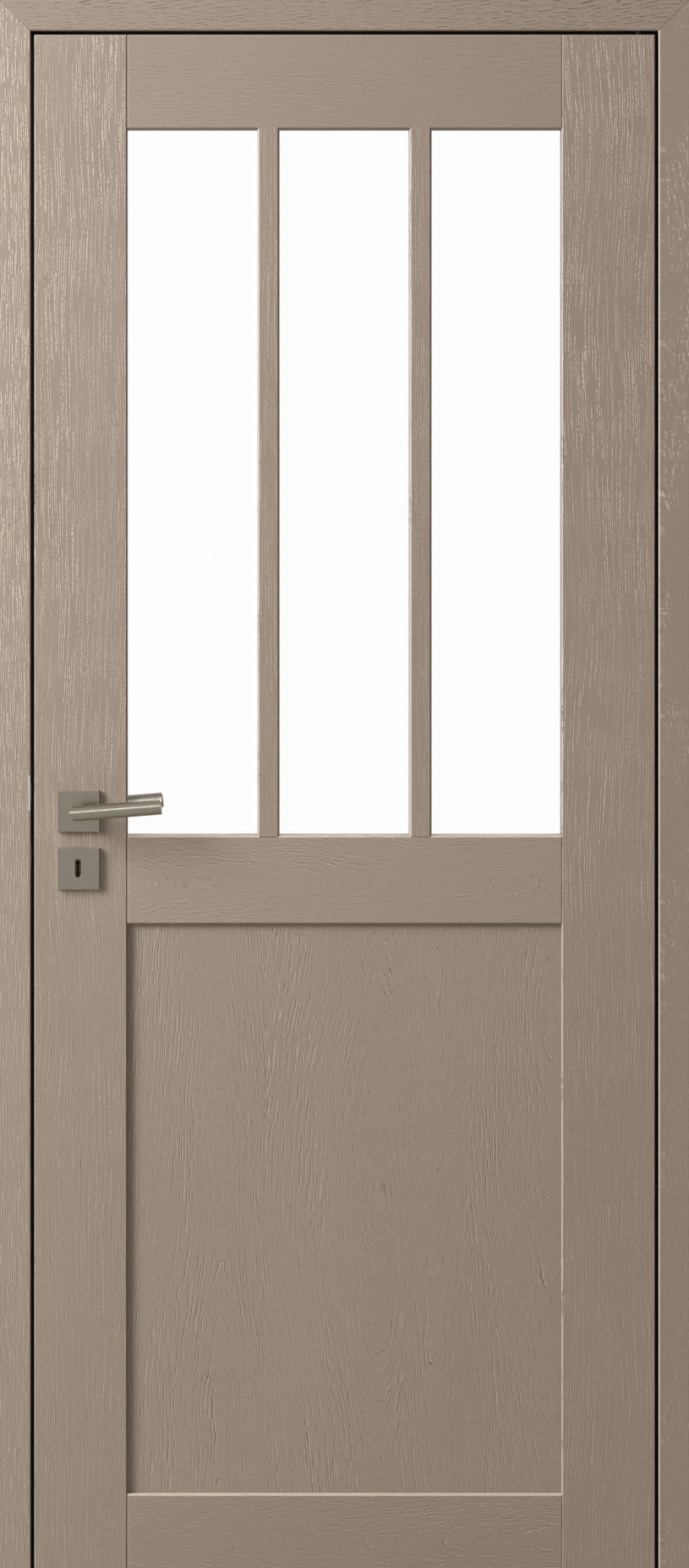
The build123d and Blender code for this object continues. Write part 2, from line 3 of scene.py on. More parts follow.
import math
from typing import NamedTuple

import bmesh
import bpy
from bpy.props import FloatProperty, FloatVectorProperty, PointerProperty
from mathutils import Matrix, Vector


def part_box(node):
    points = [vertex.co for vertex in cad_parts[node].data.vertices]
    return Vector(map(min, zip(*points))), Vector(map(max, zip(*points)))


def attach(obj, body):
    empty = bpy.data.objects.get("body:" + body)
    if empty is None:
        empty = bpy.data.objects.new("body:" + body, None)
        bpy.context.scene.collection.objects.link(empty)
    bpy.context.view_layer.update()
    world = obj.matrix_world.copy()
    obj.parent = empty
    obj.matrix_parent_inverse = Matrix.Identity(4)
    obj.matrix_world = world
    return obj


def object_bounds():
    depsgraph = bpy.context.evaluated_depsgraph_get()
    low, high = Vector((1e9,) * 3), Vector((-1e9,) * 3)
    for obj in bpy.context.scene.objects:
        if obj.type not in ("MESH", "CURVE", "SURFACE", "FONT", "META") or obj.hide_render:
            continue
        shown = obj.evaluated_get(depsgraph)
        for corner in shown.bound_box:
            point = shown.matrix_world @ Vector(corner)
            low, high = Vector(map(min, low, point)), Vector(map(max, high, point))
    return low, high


bl_info = {
    "name": "Glazed Interior Door",
    "version": (1, 0, 0),
    "blender": (4, 5, 0),
    "location": "View3D > Sidebar > Door",
    "description": "Paints, glazes and fits out a framed interior door, and sets it on a pale stage",
    "category": "Object",
}

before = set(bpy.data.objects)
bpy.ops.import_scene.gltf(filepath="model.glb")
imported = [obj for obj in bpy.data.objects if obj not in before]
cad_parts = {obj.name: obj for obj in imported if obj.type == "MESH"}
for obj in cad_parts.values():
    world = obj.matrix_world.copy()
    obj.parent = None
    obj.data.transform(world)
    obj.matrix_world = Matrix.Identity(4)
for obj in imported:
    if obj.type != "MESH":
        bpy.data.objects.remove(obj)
CAD_BOX = [list(corner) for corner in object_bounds()]
MM = 0.001

# The two faces of the door, with the way each looks along Y.
SIDES = (("front", -1.0), ("back", 1.0))
UPRIGHT = (0.0, 0.0, 1.0)
WHITE = (1.0, 1.0, 1.0)
# Height of the picture over its width.
PICTURE_SHAPE = 1855.0 / 815.0


class Strip(NamedTuple):
    """One veneer strip of flat-sawn oak. All but climb are in metres."""

    start: float  # where it starts across the grain
    heart: float  # where the heart of its arches lies across the grain
    width: float  # how wide their tops are
    climb: float  # how fast they climb
    middle: float  # the level along the grain from which they point away


class Grain(NamedTuple):
    """How the pores lie on a board. Lengths are in metres, the other numbers are shares."""

    along: str  # the axis that the grain follows
    spacing: float  # mean room that one line of pores takes across the grain
    pitch: float  # mean room that it takes along the grain
    width: float  # width of an open piece of a line
    dash: float  # length of an open piece
    gap: float  # how much of a line stays closed
    light: float  # how strongly the lit walls show
    dark: float  # how strongly the shaded walls show
    drift: float  # how far the lines sway
    wave: float  # length of one sway
    wiggle: float  # how far the lines tremble
    flame: float  # how far an arch's top is drawn out into points
    fade: float  # how far the lines die out in patches
    patch: float  # how many patches come on a metre
    tick: float  # how far the lines break up into hair-fine strokes
    spread: float  # how far the lines widen at an arch's top
    ripple: float  # how far the wood between them shows its own fine lines
    relief: float  # how deep it all is
    rub: tuple  # painted highlight on the left and right edges by a share, painted shade where below 0
    pale: float  # how much lighter the whole board came out
    strips: tuple  # its strips of veneer, where it has arches


LEFT_STILE = Grain(
    along="Z", spacing=0.0028, pitch=0.10, width=0.0009, dash=0.0034, gap=0.44, light=1.4, dark=1.0,
    drift=0.014, wave=0.35, wiggle=0.0012, flame=0.0, fade=0.45, patch=3.0, tick=0.25, spread=0.0,
    ripple=0.30, relief=0.6, rub=(0.3, -0.7), pale=0.0, strips=(),
)
RIGHT_STILE = LEFT_STILE._replace(
    spacing=0.0030, light=1.6, drift=0.024, wave=0.45, patch=7.0, rub=(0.5, 0.8)
)
BAR = LEFT_STILE._replace(drift=0.004, light=1.0, dark=0.75, relief=0.4, rub=(0.5, 0.0))
CLOSE_CASING = LEFT_STILE._replace(
    spacing=0.0027, pitch=0.040, width=0.0010, dash=0.0036, gap=0.42, light=1.4, drift=0.006,
    wave=0.50, wiggle=0.0008, fade=0.0, rub=(1.0, 1.0), pale=0.25,
)
ARCHED_CASING = LEFT_STILE._replace(
    spacing=0.0036, pitch=0.016, width=0.0015, dash=0.007, gap=0.42, light=1.0, dark=0.40, drift=0.006,
    wave=0.20, wiggle=0.0006, flame=0.010, fade=1.0, patch=9.0, tick=0.85, spread=1.0, ripple=0.20,
    rub=(0.8, 1.0),
    strips=(Strip(0.0, -0.022, 0.012, 0.11, -1.0),),
)
HEAD_CASING = LEFT_STILE._replace(
    along="X", spacing=0.0034, pitch=0.018, width=0.0015, dash=0.007, gap=0.38, light=0.10, dark=1.0,
    drift=0.006, wave=0.25, wiggle=0.0009, flame=0.010, fade=0.35, tick=0.2, spread=0.6, ripple=0.35,
    strips=(Strip(0.0, 2.075, 0.016, 0.07, -2.0),),
)
TOP_RAIL = LEFT_STILE._replace(
    along="X", spacing=0.0044, pitch=0.035, width=0.0016, dash=0.006, gap=0.46, light=0.10, dark=0.40,
    drift=0.012, wave=0.25, wiggle=0.0014, fade=0.60, tick=0.2, ripple=0.35, rub=(0.6, 0.3),
)
LOCK_RAIL = LEFT_STILE._replace(
    along="X", spacing=0.0034, pitch=0.030, width=0.0012, dash=0.007, gap=0.42, light=0.65, dark=0.75,
    drift=0.014, wave=0.18, wiggle=0.0015, flame=0.010, fade=0.60, tick=0.3, spread=0.2, ripple=0.40,
    relief=0.8, rub=(0.6, 0.3), pale=0.45, strips=(Strip(0.0, 0.955, 0.030, 0.09, -2.0),),
)
BOTTOM_RAIL = LOCK_RAIL._replace(
    pitch=0.025, dash=0.006, light=0.90, dark=0.70, pale=0.0, strips=(Strip(0.0, 0.13, 0.026, 0.07, 1.0),)
)
PANEL = LEFT_STILE._replace(
    spacing=0.0034, pitch=0.055, width=0.0011, dash=0.013, gap=0.42, light=0.90, dark=1.0,
    drift=0.014, wave=0.22, flame=0.014, fade=0.60, tick=0.15, spread=0.1, ripple=0.45,
    relief=0.9, pale=0.12,
    strips=(
        Strip(-0.693, -0.568, 0.014, 0.050, -0.10),
        Strip(-0.513, -0.369, 0.026, 0.120, 0.54),
        Strip(-0.340, -0.300, 0.016, 0.070, 1.10),
        Strip(-0.257, -0.150, 0.030, 0.090, 0.72),
    ),
)

BOARDS = {
    "latch_stile": LEFT_STILE,
    "hinge_stile": RIGHT_STILE,
    "glazing_bar_left": BAR,
    "glazing_bar_right": BAR,
    "glazing_beads_left": BAR,
    "glazing_beads_right": BAR,
    "top_rail": TOP_RAIL,
    "glazing_beads_top": TOP_RAIL,
    "glazing_beads_bottom": TOP_RAIL,
    "lock_rail": LOCK_RAIL,
    "bottom_rail": BOTTOM_RAIL,
    "lower_panel": PANEL,
    "front_casing_latch": CLOSE_CASING,
    "front_casing_hinge": ARCHED_CASING,
    "front_casing_head": HEAD_CASING,
    "back_casing_latch": CLOSE_CASING,
    "back_casing_hinge": ARCHED_CASING,
    "back_casing_head": HEAD_CASING,
    "latch_jamb": CLOSE_CASING,
    "hinge_jamb": RIGHT_STILE,
    "head_jamb": TOP_RAIL,
    "latch_stop": CLOSE_CASING,
    "hinge_stop": RIGHT_STILE,
    "head_stop": TOP_RAIL,
}


def srgb(red, green, blue):
    """A colour given as 8-bit screen values, as linear light."""
    shares = [value / 255.0 for value in (red, green, blue)]
    return tuple(s / 12.92 if s <= 0.04045 else ((s + 0.055) / 1.055) ** 2.4 for s in shares)


class Value:
    """A number that varies over a surface; arithmetic on it adds Math nodes."""

    def __init__(self, nodes, socket):
        self.nodes = nodes
        self.socket = socket

    def math(self, operation, *operands):
        return self.nodes.math(operation, self, *operands)

    def __add__(self, other):
        return self.math("ADD", other)

    def __radd__(self, other):
        return self.nodes.math("ADD", other, self)

    def __sub__(self, other):
        return self.math("SUBTRACT", other)

    def __rsub__(self, other):
        return self.nodes.math("SUBTRACT", other, self)

    def __mul__(self, other):
        return self.math("MULTIPLY", other)

    def __rmul__(self, other):
        return self.nodes.math("MULTIPLY", other, self)

    def __truediv__(self, other):
        return self.math("DIVIDE", other)

    def __rtruediv__(self, other):
        return self.nodes.math("DIVIDE", other, self)

    def __neg__(self):
        return self.nodes.math("SUBTRACT", 0.0, self)

    def __abs__(self):
        return self.math("ABSOLUTE")

    def sqrt(self):
        return self.math("SQRT")

    def above(self, limit):
        return self.math("GREATER_THAN", limit)

    def larger(self, other):
        return self.math("MAXIMUM", other)


class Nodes:
    """A node tree that is written as expressions."""

    def __init__(self, tree):
        self.tree = tree

    def put(self, socket, value):
        if isinstance(value, Value):
            self.tree.links.new(value.socket, socket)
        else:
            socket.default_value = value

    def node(self, kind, settings=None, sockets=None, output=0):
        """Adds a node: first its settings, then the values or links of its sockets."""
        node = self.tree.nodes.new(kind)
        for key, value in (settings or {}).items():
            setattr(node, key, value)
        for key, value in (sockets or {}).items():
            self.put(node.inputs[key], value)
        return Value(self, node.outputs[output])

    def math(self, operation, *operands):
        return self.node("ShaderNodeMath", {"operation": operation}, dict(enumerate(operands)))

    def axes(self, coordinates):
        """Its three coordinates, from the named output of Texture Coordinate."""
        spot = self.node("ShaderNodeTexCoord", output=coordinates)
        return [self.node("ShaderNodeSeparateXYZ", None, {0: spot}, output=i) for i in range(3)]

    def noise(self, x, y, z, detail=2.0, roughness=0.5):
        """Smooth noise from 0 to 1 at a point given in noise cells."""
        point = self.node("ShaderNodeCombineXYZ", None, {0: x, 1: y, 2: z})
        sockets = {"Vector": point, "Scale": 1.0, "Detail": detail, "Roughness": roughness}
        return self.node("ShaderNodeTexNoise", {"noise_dimensions": "3D"}, sockets)

    def scatter(self, u, v):
        """The nearest of points strewn one to a cell: how far off the place lies from it
        each way, and two random numbers of its own."""
        place = self.node("ShaderNodeCombineXYZ", None, {0: u, 1: v})
        sockets = {"Vector": place, "Scale": 1.0, "Randomness": 0.8}
        cell = self.node("ShaderNodeTexVoronoi", {"voronoi_dimensions": "2D"}, sockets)
        outputs = cell.socket.node.outputs

        def parts(kind, key):
            whole = Value(self, outputs[key])
            return [self.node(kind, None, {0: whole}, output=i) for i in (0, 1)]

        middle_u, middle_v = parts("ShaderNodeSeparateXYZ", "Position")
        first, second = parts("ShaderNodeSeparateColor", "Color")
        return u - middle_u, v - middle_v, first, second

    def smooth(self, value, low, high):
        """0 below low, 1 above high, eased between them."""
        sockets = {"Value": value, "From Min": low, "From Max": high}
        return self.node("ShaderNodeMapRange", {"interpolation_type": "SMOOTHSTEP"}, sockets)

    def mix(self, first, second, share):
        """A colour between two colours."""
        colours = [c if isinstance(c, Value) else (*c, 1.0) for c in (first, second)]
        sockets = {"Factor": share, 6: colours[0], 7: colours[1]}
        return self.node("ShaderNodeMix", {"data_type": "RGBA"}, sockets, output=2)


class Finish(Nodes):
    """One material with a Principled surface."""

    def __init__(self, name, **constants):
        self.material = bpy.data.materials.new(name)
        self.material.use_nodes = True
        super().__init__(self.material.node_tree)
        self.surface = self.tree.nodes["Principled BSDF"]
        self.set_surface({key.replace("_", " "): value for key, value in constants.items()})

    def set_surface(self, values):
        for key, value in values.items():
            self.put(self.surface.inputs[key], value)

    def place(self):
        """The point in the object's own space, in metres."""
        return self.axes("Object")

    def grain_noise(self, across, along, cells, seed, detail=2.0, roughness=0.5):
        """Noise from 0 to 1 with a number of cells on a metre across and along the grain."""
        across_cells, along_cells = cells
        return self.noise(across * across_cells, along * along_cells, seed, detail, roughness)

    def bump(self, height, strength, distance):
        sockets = {"Height": height, "Strength": strength, "Distance": distance}
        return self.node("ShaderNodeBump", None, sockets)


def strip_value(across, strips, field):
    """The value that holds on the veneer strip at this point."""
    total = getattr(strips[0], field)
    for before, strip in zip(strips, strips[1:]):
        total = total + across.above(strip.start) * (getattr(strip, field) - getattr(before, field))
    return total


# Cells of noise on a metre, across and along the grain.
CURL_CELLS = (35.0, 75.0)
FLAME_CELLS = (170.0, 5.0)
HAIR_CELLS = (950.0, 220.0)
FIBRE_CELLS = (800.0, 60.0)
GRIT_CELLS = (600.0, 400.0)
CLOUD_CELLS = (6.0, 2.5)
SWAY_ACROSS = 5.0
PATCH_ACROSS = 20.0
# How far along the grain an arch's tip is rounded.
TIP_LENGTH = 30.0 * MM
# Where the lit and the shaded wall of a pore lie, in halves of its width from its middle.
LIT_WALL, SHADED_WALL = 0.5, -1.6


def pore_rows(finish, across, along, grain, seed):
    """The running number of the row of pores at a point, and how steeply it grows."""
    sway = finish.noise(across * SWAY_ACROSS, along / grain.wave, seed * 3.7, 1.0) - 0.5
    curl = finish.grain_noise(across, along, CURL_CELLS, seed * 1.9) - 0.5
    drift = sway * (2.0 * grain.drift) + curl * (2.0 * grain.wiggle)
    if not grain.strips:
        return (across + drift) / grain.spacing, 1.0
    heart, width, climb, middle = [strip_value(across, grain.strips, f) for f in Strip._fields[1:]]
    flame = finish.grain_noise(across, along, FLAME_CELLS, seed * 4.1) - 0.5
    level = along + flame * (2.0 * grain.flame) - middle
    rise = (level * level + TIP_LENGTH**2).sqrt()
    off = across - heart
    reach = (off * off + width * width).sqrt()
    steep = off / reach
    slope = (steep * steep + climb * climb).sqrt()
    return (reach + rise * climb + drift) / grain.spacing, slope


def pore_marks(finish, across, along, grain, seed):
    """Where the lit wall, the shaded wall and the floor of the pores lie, and the fine
    lines of the wood between them."""
    row, slope = pore_rows(finish, across, along, grain, seed)
    if grain.strips:
        slope = slope.math("POWER", 1.0 - grain.spread)
    off_row, off_run, luck, size = finish.scatter(row + seed * 31.0, along / grain.pitch)
    offset = off_row * grain.spacing / slope
    half_run = 0.25 + 0.35 * size
    patch = finish.grain_noise(across, along, (PATCH_ACROSS, grain.patch), seed * 5.1)
    broken = finish.noise(luck * 97.0, along / grain.dash, seed, 1.0)
    strength = (1.0 - finish.smooth(abs(off_run), half_run * 0.8, half_run)) * (0.4 + 0.6 * luck)
    strength = strength * finish.smooth(broken, grain.gap - 0.05, grain.gap + 0.06)
    strength = strength * (1.0 - grain.fade * finish.smooth(patch, 0.40, 0.60))
    if grain.tick:
        hair = finish.grain_noise(across, along, HAIR_CELLS, seed * 2.7, 1.0)
        strength = strength * (1.0 - grain.tick + grain.tick * finish.smooth(hair, 0.48, 0.60))
    half = grain.width / 2

    def wall(place):
        return (1.0 - finish.smooth(abs(offset + place * half), half * 0.4, half * 1.3)) * strength

    ripple = finish.noise(row * 3.1, along / grain.dash, seed * 7.7, 2.0, 0.6) - 0.5
    return wall(LIT_WALL), wall(SHADED_WALL), wall(0.0), ripple * grain.ripple


def arris_mask(finish):
    """1 on the straight eased edges, which lie between a face and its side, 0 elsewhere."""
    x, y, z = [abs(axis) for axis in finish.axes("Normal")]
    straight = x.larger(z).above(0.6)
    return (1.0 - finish.smooth(abs(y - 0.707), 0.05, 0.15)) * straight


def painted_edge_shading(finish, rub):
    """Painted highlight on the eased edges, or painted shade where below 0: each side edge by
    its own share, the upper edges fully; the lower ones get painted shade."""
    x, _, z = finish.axes("Normal")
    left, right = rub
    side = left + (right - left) * finish.smooth(x, -0.2, 0.2)
    upper = z.above(0.6)
    lower = (-z).above(0.6)
    return arris_mask(finish) * side * (1.0 - upper - lower) + upper - lower * 0.6


# A board's sides carry its lines on, moved across by a share of their depth and by a fixed
# length besides.
SIDE_RUN, SIDE_START = 0.83, 59.0 * MM
# The heights above the floor between which the painted highlights on the pores brighten, in metres.
DIM_HEIGHT, BRIGHT_HEIGHT = 0.55, 1.75


def painted_oak(name, grain, seed, paint, rebate_shade=None, joint=None):
    """Open-grain paint for one board, with painted highlights and shade on pores and edges,
    painted shade inside a rebate given as a box, and dark in a fine line at a joint's height."""
    finish = Finish(name, IOR=1.46)
    x, y, z = finish.place()
    along, across = (z, x) if grain.along == "Z" else (x, z)
    across = across + y * SIDE_RUN + SIDE_START
    light, dark, floor, ripple = pore_marks(finish, across, along, grain, seed)
    fibre = finish.grain_noise(across, along, FIBRE_CELLS, seed, 3.0, 0.6) - 0.5
    grit = finish.grain_noise(across, along, GRIT_CELLS, seed * 1.3, 1.0) - 0.5
    cloud = finish.grain_noise(across, along, CLOUD_CELLS, seed * 2.3) - 0.5
    tone = fibre * 0.6 + grit * 0.9 + cloud * 0.5 + ripple + (0.3 - grain.pale)
    ground = finish.mix(paint.ground, paint.deep, tone)
    # Painted highlight on the lit pore walls, stronger towards the top of the door.
    height = finish.smooth(z, DIM_HEIGHT, BRIGHT_HEIGHT)
    glint = light * grain.light * (paint.foot_share + (1.0 - paint.foot_share) * height)
    # Painted highlight on the upper and lit-side eased edges, painted shade on the lower and shaded ones
    # and on the shaded pore walls.
    edge_shading = painted_edge_shading(finish, grain.rub)
    lit = finish.mix(ground, paint.lit, glint.larger(edge_shading * paint.edge_highlight))
    colour = finish.mix(lit, paint.shaded, (dark * grain.dark).larger(-edge_shading))
    if joint is not None:
        colour = finish.mix(paint.shaded, colour, finish.smooth(z, joint + 0.5 * MM, joint + 1.5 * MM))
    # Painted shade: a near-black colour on the jambs and stops inside the rebate, for the shade in the gap
    # round the leaf.
    if rebate_shade is not None:
        low, high = rebate_shade
        inside = x.above(low.x) * (1.0 - x.above(high.x)) * (1.0 - z.above(high.z))
        depth = 1.0 - finish.smooth(y, high.y, high.y + MM)
        colour = finish.mix(colour, paint.rebate_shade, inside * depth)
    relief = (fibre * 0.6 + grit * 0.4 + ripple * 1.4 - floor) * grain.relief
    finish.set_surface(
        {
            "Base Color": colour,
            "Roughness": paint.roughness + fibre * 0.2,
            "Normal": finish.bump(relief, paint.relief, paint.relief_depth),
        }
    )
    return finish.material


def dress(nodes, material):
    """Gives CAD nodes one finish."""
    for name in nodes:
        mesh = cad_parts[name].data
        mesh.materials.clear()
        mesh.materials.append(material)


def colour_property(name, description, default):
    return FloatVectorProperty(
        name=name, description=description, subtype="COLOR", size=3, min=0.0, max=1.0, default=default
    )


class DoorPaintSettings(bpy.types.PropertyGroup):
    """Colours and relief of the paint."""

    ground: colour_property("Ground", "Colour of the paint between the pores", srgb(163, 147, 132))
    deep: colour_property("Deep tone", "Colour in the fine lines of the grain", srgb(143, 127, 112))
    lit: colour_property("Lit pores", "Colour of the pore walls that catch the light", srgb(232, 218, 202))
    shaded: colour_property("Shaded pores", "Colour of the pore walls in shade", srgb(104, 90, 76))
    # Colour of the painted shade in the rebate beside the leaf's edge, for the shade in the gap.
    rebate_shade: colour_property("Rebate", "Colour of the frame beside the leaf's edge", srgb(38, 30, 24))
    roughness: FloatProperty(
        name="Roughness", description="Roughness of the paint", subtype="FACTOR", default=0.46
    )
    relief: FloatProperty(
        name="Relief", description="Strength of the grain's relief", subtype="FACTOR", default=0.45
    )
    # Strength of the painted highlight on the pores at the foot, against the top.
    foot_share: FloatProperty(
        name="Foot share",
        description="How brightly the pores show at the foot, compared with the top",
        subtype="FACTOR",
        default=0.40,
    )
    # How strongly the painted highlight on the eased edges shows.
    edge_highlight: FloatProperty(
        name="Wear", description="How far the eased edges have paled", subtype="FACTOR", default=0.75
    )
    relief_depth: FloatProperty(
        name="Relief depth", description="Depth of the grain", unit="LENGTH", default=0.35 * MM
    )


class DoorSteelSettings(bpy.types.PropertyGroup):
    """Colours of the metal and the rubber."""

    satin: colour_property("Satin steel", "Colour of the levers and plates", (0.38, 0.345, 0.285))
    plain: colour_property("Plain steel", "Colour of the lock and the screws", (0.55, 0.55, 0.54))
    black: colour_property("Blackened steel", "Colour of the pivots", (0.02, 0.018, 0.016))
    zinc: colour_property("Zinc", "Colour of the strike plate", (0.83, 0.85, 0.87))
    inner: colour_property("Keyhole", "Colour of the lock's works behind the keyhole", (0.07, 0.055, 0.04))
    rubber: colour_property("Rubber", "Colour of the seals", (0.02, 0.02, 0.02))
    roughness: FloatProperty(
        name="Roughness", description="Roughness of the satin steel", subtype="FACTOR", default=0.24
    )
    screw_d: FloatProperty(
        name="Screw heads", description="Diameter of a screw head", unit="LENGTH", default=7.0 * MM
    )


class DoorStageSettings(bpy.types.PropertyGroup):
    """Camera, light and floor."""

    camera_distance: FloatProperty(
        name="Camera distance",
        description="From the camera to the leaf's face",
        unit="LENGTH",
        default=7.5,
    )
    camera_height: FloatProperty(
        name="Camera height", description="Above the floor", unit="LENGTH", default=1.54
    )
    camera_side: FloatProperty(
        name="Camera side",
        description="How far the camera stands to the latch side of the leaf's middle",
        unit="LENGTH",
        default=0.113,
    )
    picture_width: FloatProperty(
        name="Picture width",
        description="Width of the picture at the leaf's face",
        unit="LENGTH",
        default=0.8664,
    )
    picture_middle: FloatProperty(
        name="Picture middle",
        description="Height of the picture's middle at the leaf's face",
        unit="LENGTH",
        default=1.0808,
    )
    key_power: FloatProperty(
        name="Key light", description="Power of the key light", unit="POWER", default=133.0
    )
    fill: FloatProperty(
        name="Fill", description="Strength of the even light from all round", default=0.245
    )
    floor: colour_property("Floor", "Colour of the floor", (0.62, 0.62, 0.61))


class DOOR_OT_paint_boards(bpy.types.Operator):
    """Paint every board of the leaf and the frame, each with its own run of grain"""

    bl_idname = "door.paint_boards"
    bl_label = "Paint boards"

    def execute(self, context):
        paint = context.scene.door_paint
        rebate_shade = self.rebate_box()
        bevel_drop = 2.4 * MM
        bar_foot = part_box("lock_rail")[1].z - bevel_drop
        for seed, (name, grain) in enumerate(BOARDS.items(), start=1):
            # Jambs and stops take painted shade inside the rebate.
            hollow = rebate_shade if name.endswith(("_jamb", "_stop")) else None
            joint = bar_foot if name.startswith("glazing_bar") else None
            dress([name], painted_oak(f"oak_{name}", grain, seed, paint, hollow, joint))
        return {"FINISHED"}

    def rebate_box(self):
        """The room the leaf closes into, up to just behind the face of the stops."""
        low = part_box("latch_stile")[0]
        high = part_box("hinge_stile")[1]
        room = 6 * MM
        return (
            Vector((low.x - room, low.y, low.z)),
            Vector((high.x + room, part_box("latch_stop")[0].y + MM, high.z + room)),
        )


class DOOR_OT_glaze(bpy.types.Operator):
    """Glaze the three panes with clear float glass"""

    bl_idname = "door.glaze"
    bl_label = "Glaze"

    def execute(self, context):
        finish = Finish("clear_glass", Transmission_Weight=1.0, IOR=1.5, Specular_IOR_Level=0.2)
        x, y, z = finish.place()
        smear = finish.noise(x * 3.0, y, z * 2.0, 3.0)
        ripple = finish.noise(x * 6.0, y, z * 1.5, 1.0)
        finish.set_surface(
            {
                "Base Color": finish.mix((0.985, 0.995, 0.99), WHITE, smear),
                "Roughness": smear * 0.01,
                "Normal": finish.bump(ripple, 0.02, 0.2 * MM),
            }
        )
        dress(("glass_left", "glass_middle", "glass_right"), finish.material)
        return {"FINISHED"}


def brushed_steel(name, colour, roughness, along, rim_highlight=0.0):
    """Metal with fine scratches along one axis, and a painted highlight on its edges by a share."""
    finish = Finish(name, Metallic=1.0)
    spot = finish.place()
    cells = [c * (24.0 if axis == along else 2600.0) for c, axis in zip(spot, "XYZ")]
    scratch = finish.noise(*cells, 3.0, 0.65)
    cloud = finish.noise(*[c * 40.0 for c in spot], 2.0)
    dark = tuple(0.78 * c for c in colour)
    pale = tuple(min(1.0, 1.18 * c) for c in colour)
    rim_highlight_colour = tuple(min(1.0, 2.0 * c) for c in colour)
    brushed = finish.mix(dark, pale, scratch * 0.75 + cloud * 0.25)
    finish.set_surface(
        {
            # Painted highlight along the eased edges.
            "Base Color": finish.mix(brushed, rim_highlight_colour, arris_mask(finish) * rim_highlight),
            "Roughness": roughness + (scratch - 0.5) * 0.16,
            "Normal": finish.bump(scratch, 0.04, 0.02 * MM),
        }
    )
    return finish.material


class DOOR_OT_finish_furniture(bpy.types.Operator):
    """Brush the levers along their length and the square plates upright"""

    bl_idname = "door.finish_furniture"
    bl_label = "Finish furniture"

    def execute(self, context):
        steel = context.scene.door_steel
        plates = ("front_rose", "back_rose", "front_escutcheon", "back_escutcheon")
        dress(plates, brushed_steel("satin_plates", steel.satin, steel.roughness, "Z", rim_highlight=0.8))
        dress(["strike_plate"], brushed_steel("strike_zinc", steel.zinc, 0.3, "Z"))
        dress(
            ("front_lever", "back_lever"),
            brushed_steel("satin_levers", steel.satin, steel.roughness + 0.04, "X"),
        )
        return {"FINISHED"}


class DOOR_OT_finish_lock(bpy.types.Operator):
    """Finish the lock, its bolts and the spindle in plain steel, and the pivots in black"""

    bl_idname = "door.finish_lock"
    bl_label = "Finish lock"

    def execute(self, context):
        steel = context.scene.door_steel
        metal = brushed_steel("plain_steel", steel.plain, 0.34, "Z")
        dress(("mortise_lock", "latch_bolt", "dead_bolt", "spindle"), metal)
        black = brushed_steel("black_steel", steel.black, 0.5, "X")
        dress(("top_pivot_plate", "bottom_pivot_bracket", "top_pivot_bush", "bottom_pivot_bush"), black)
        return {"FINISHED"}


def ring_points(radius, count, turn=0.0):
    """Points on a circle, anticlockwise."""
    angles = [turn + 2.0 * math.pi * i / count for i in range(count)]
    return [(radius * math.cos(a), radius * math.sin(a)) for a in angles]


def slot_points(width, height, count=12):
    """An upright oblong with round ends."""
    radius, lift = width / 2, height / 2 - width / 2
    arc = [math.pi * i / count for i in range(count + 1)]
    top = [(radius * math.cos(a), lift + radius * math.sin(a)) for a in arc]
    return top + [(-u, -v) for u, v in top]


def waisted_points(round_d, reach, waist, count=14):
    """A keyhole with two round ends joined by a narrow waist."""
    radius = round_d / 2
    start = math.asin(waist / round_d)
    arc = [start - math.pi / 2 + (2 * math.pi - 2 * start) * i / count for i in range(count + 1)]
    top = [(radius * math.cos(a), reach + radius * math.sin(a)) for a in arc]
    return top + [(-u, -v) for u, v in top]


def cross_points(arm, width):
    """A plus sign."""
    a, w = arm / 2, width / 2
    quarter = [(a, -w), (a, w), (w, w)]
    points = []
    for _ in range(4):
        points += quarter
        quarter = [(-v, u) for u, v in quarter]
    return points


def pierced_plate(name, outer, inner, front, back, pocket=None, ease=0.0):
    """A plate in local X and Y with a hole, or a blind pocket down to the level given."""
    form = bmesh.new()

    def loop(points, level, scale=1.0):
        return [form.verts.new((u * scale, v * scale, level)) for u, v in points]

    def wall(upper, lower):
        for i in range(len(upper)):
            j = (i + 1) % len(upper)
            form.faces.new((upper[i], upper[j], lower[j], lower[i]))

    def cover(*loops):
        edges = []
        for verts in loops:
            for i, vert in enumerate(verts):
                following = verts[(i + 1) % len(verts)]
                edges.append(form.edges.get((vert, following)) or form.edges.new((vert, following)))
        bmesh.ops.triangle_fill(form, use_beauty=True, use_dissolve=False, edges=edges)

    reach = max(math.hypot(*point) for point in outer)
    rim = loop(outer, front - ease)
    top = loop(outer, front, 1.0 - ease / reach) if ease else rim
    if ease:
        wall(top, rim)
    foot = loop(outer, back)
    wall(rim, foot)
    mouth = loop(inner, front)
    depth = loop(inner, back if pocket is None else pocket)
    wall(mouth, depth)
    cover(top, mouth)
    if pocket is None:
        cover(foot, depth)
    else:
        cover(foot)
        cover(depth)
    bmesh.ops.recalc_face_normals(form, faces=form.faces)
    mesh = bpy.data.meshes.new(name)
    form.to_mesh(mesh)
    form.free()
    piece = bpy.data.objects.new(name, mesh)
    bpy.context.scene.collection.objects.link(piece)
    return piece


def stand(piece, place, out, up):
    """Turns a piece so that its local Z looks along out and its local Y along up."""
    out, up = Vector(out), Vector(up)
    turn = Matrix((up.cross(out), up, out)).transposed().to_4x4()
    piece.data.transform(Matrix.Translation(Vector(place)) @ turn)


def fit(piece, body, material):
    piece.data.materials.append(material)
    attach(piece, body)


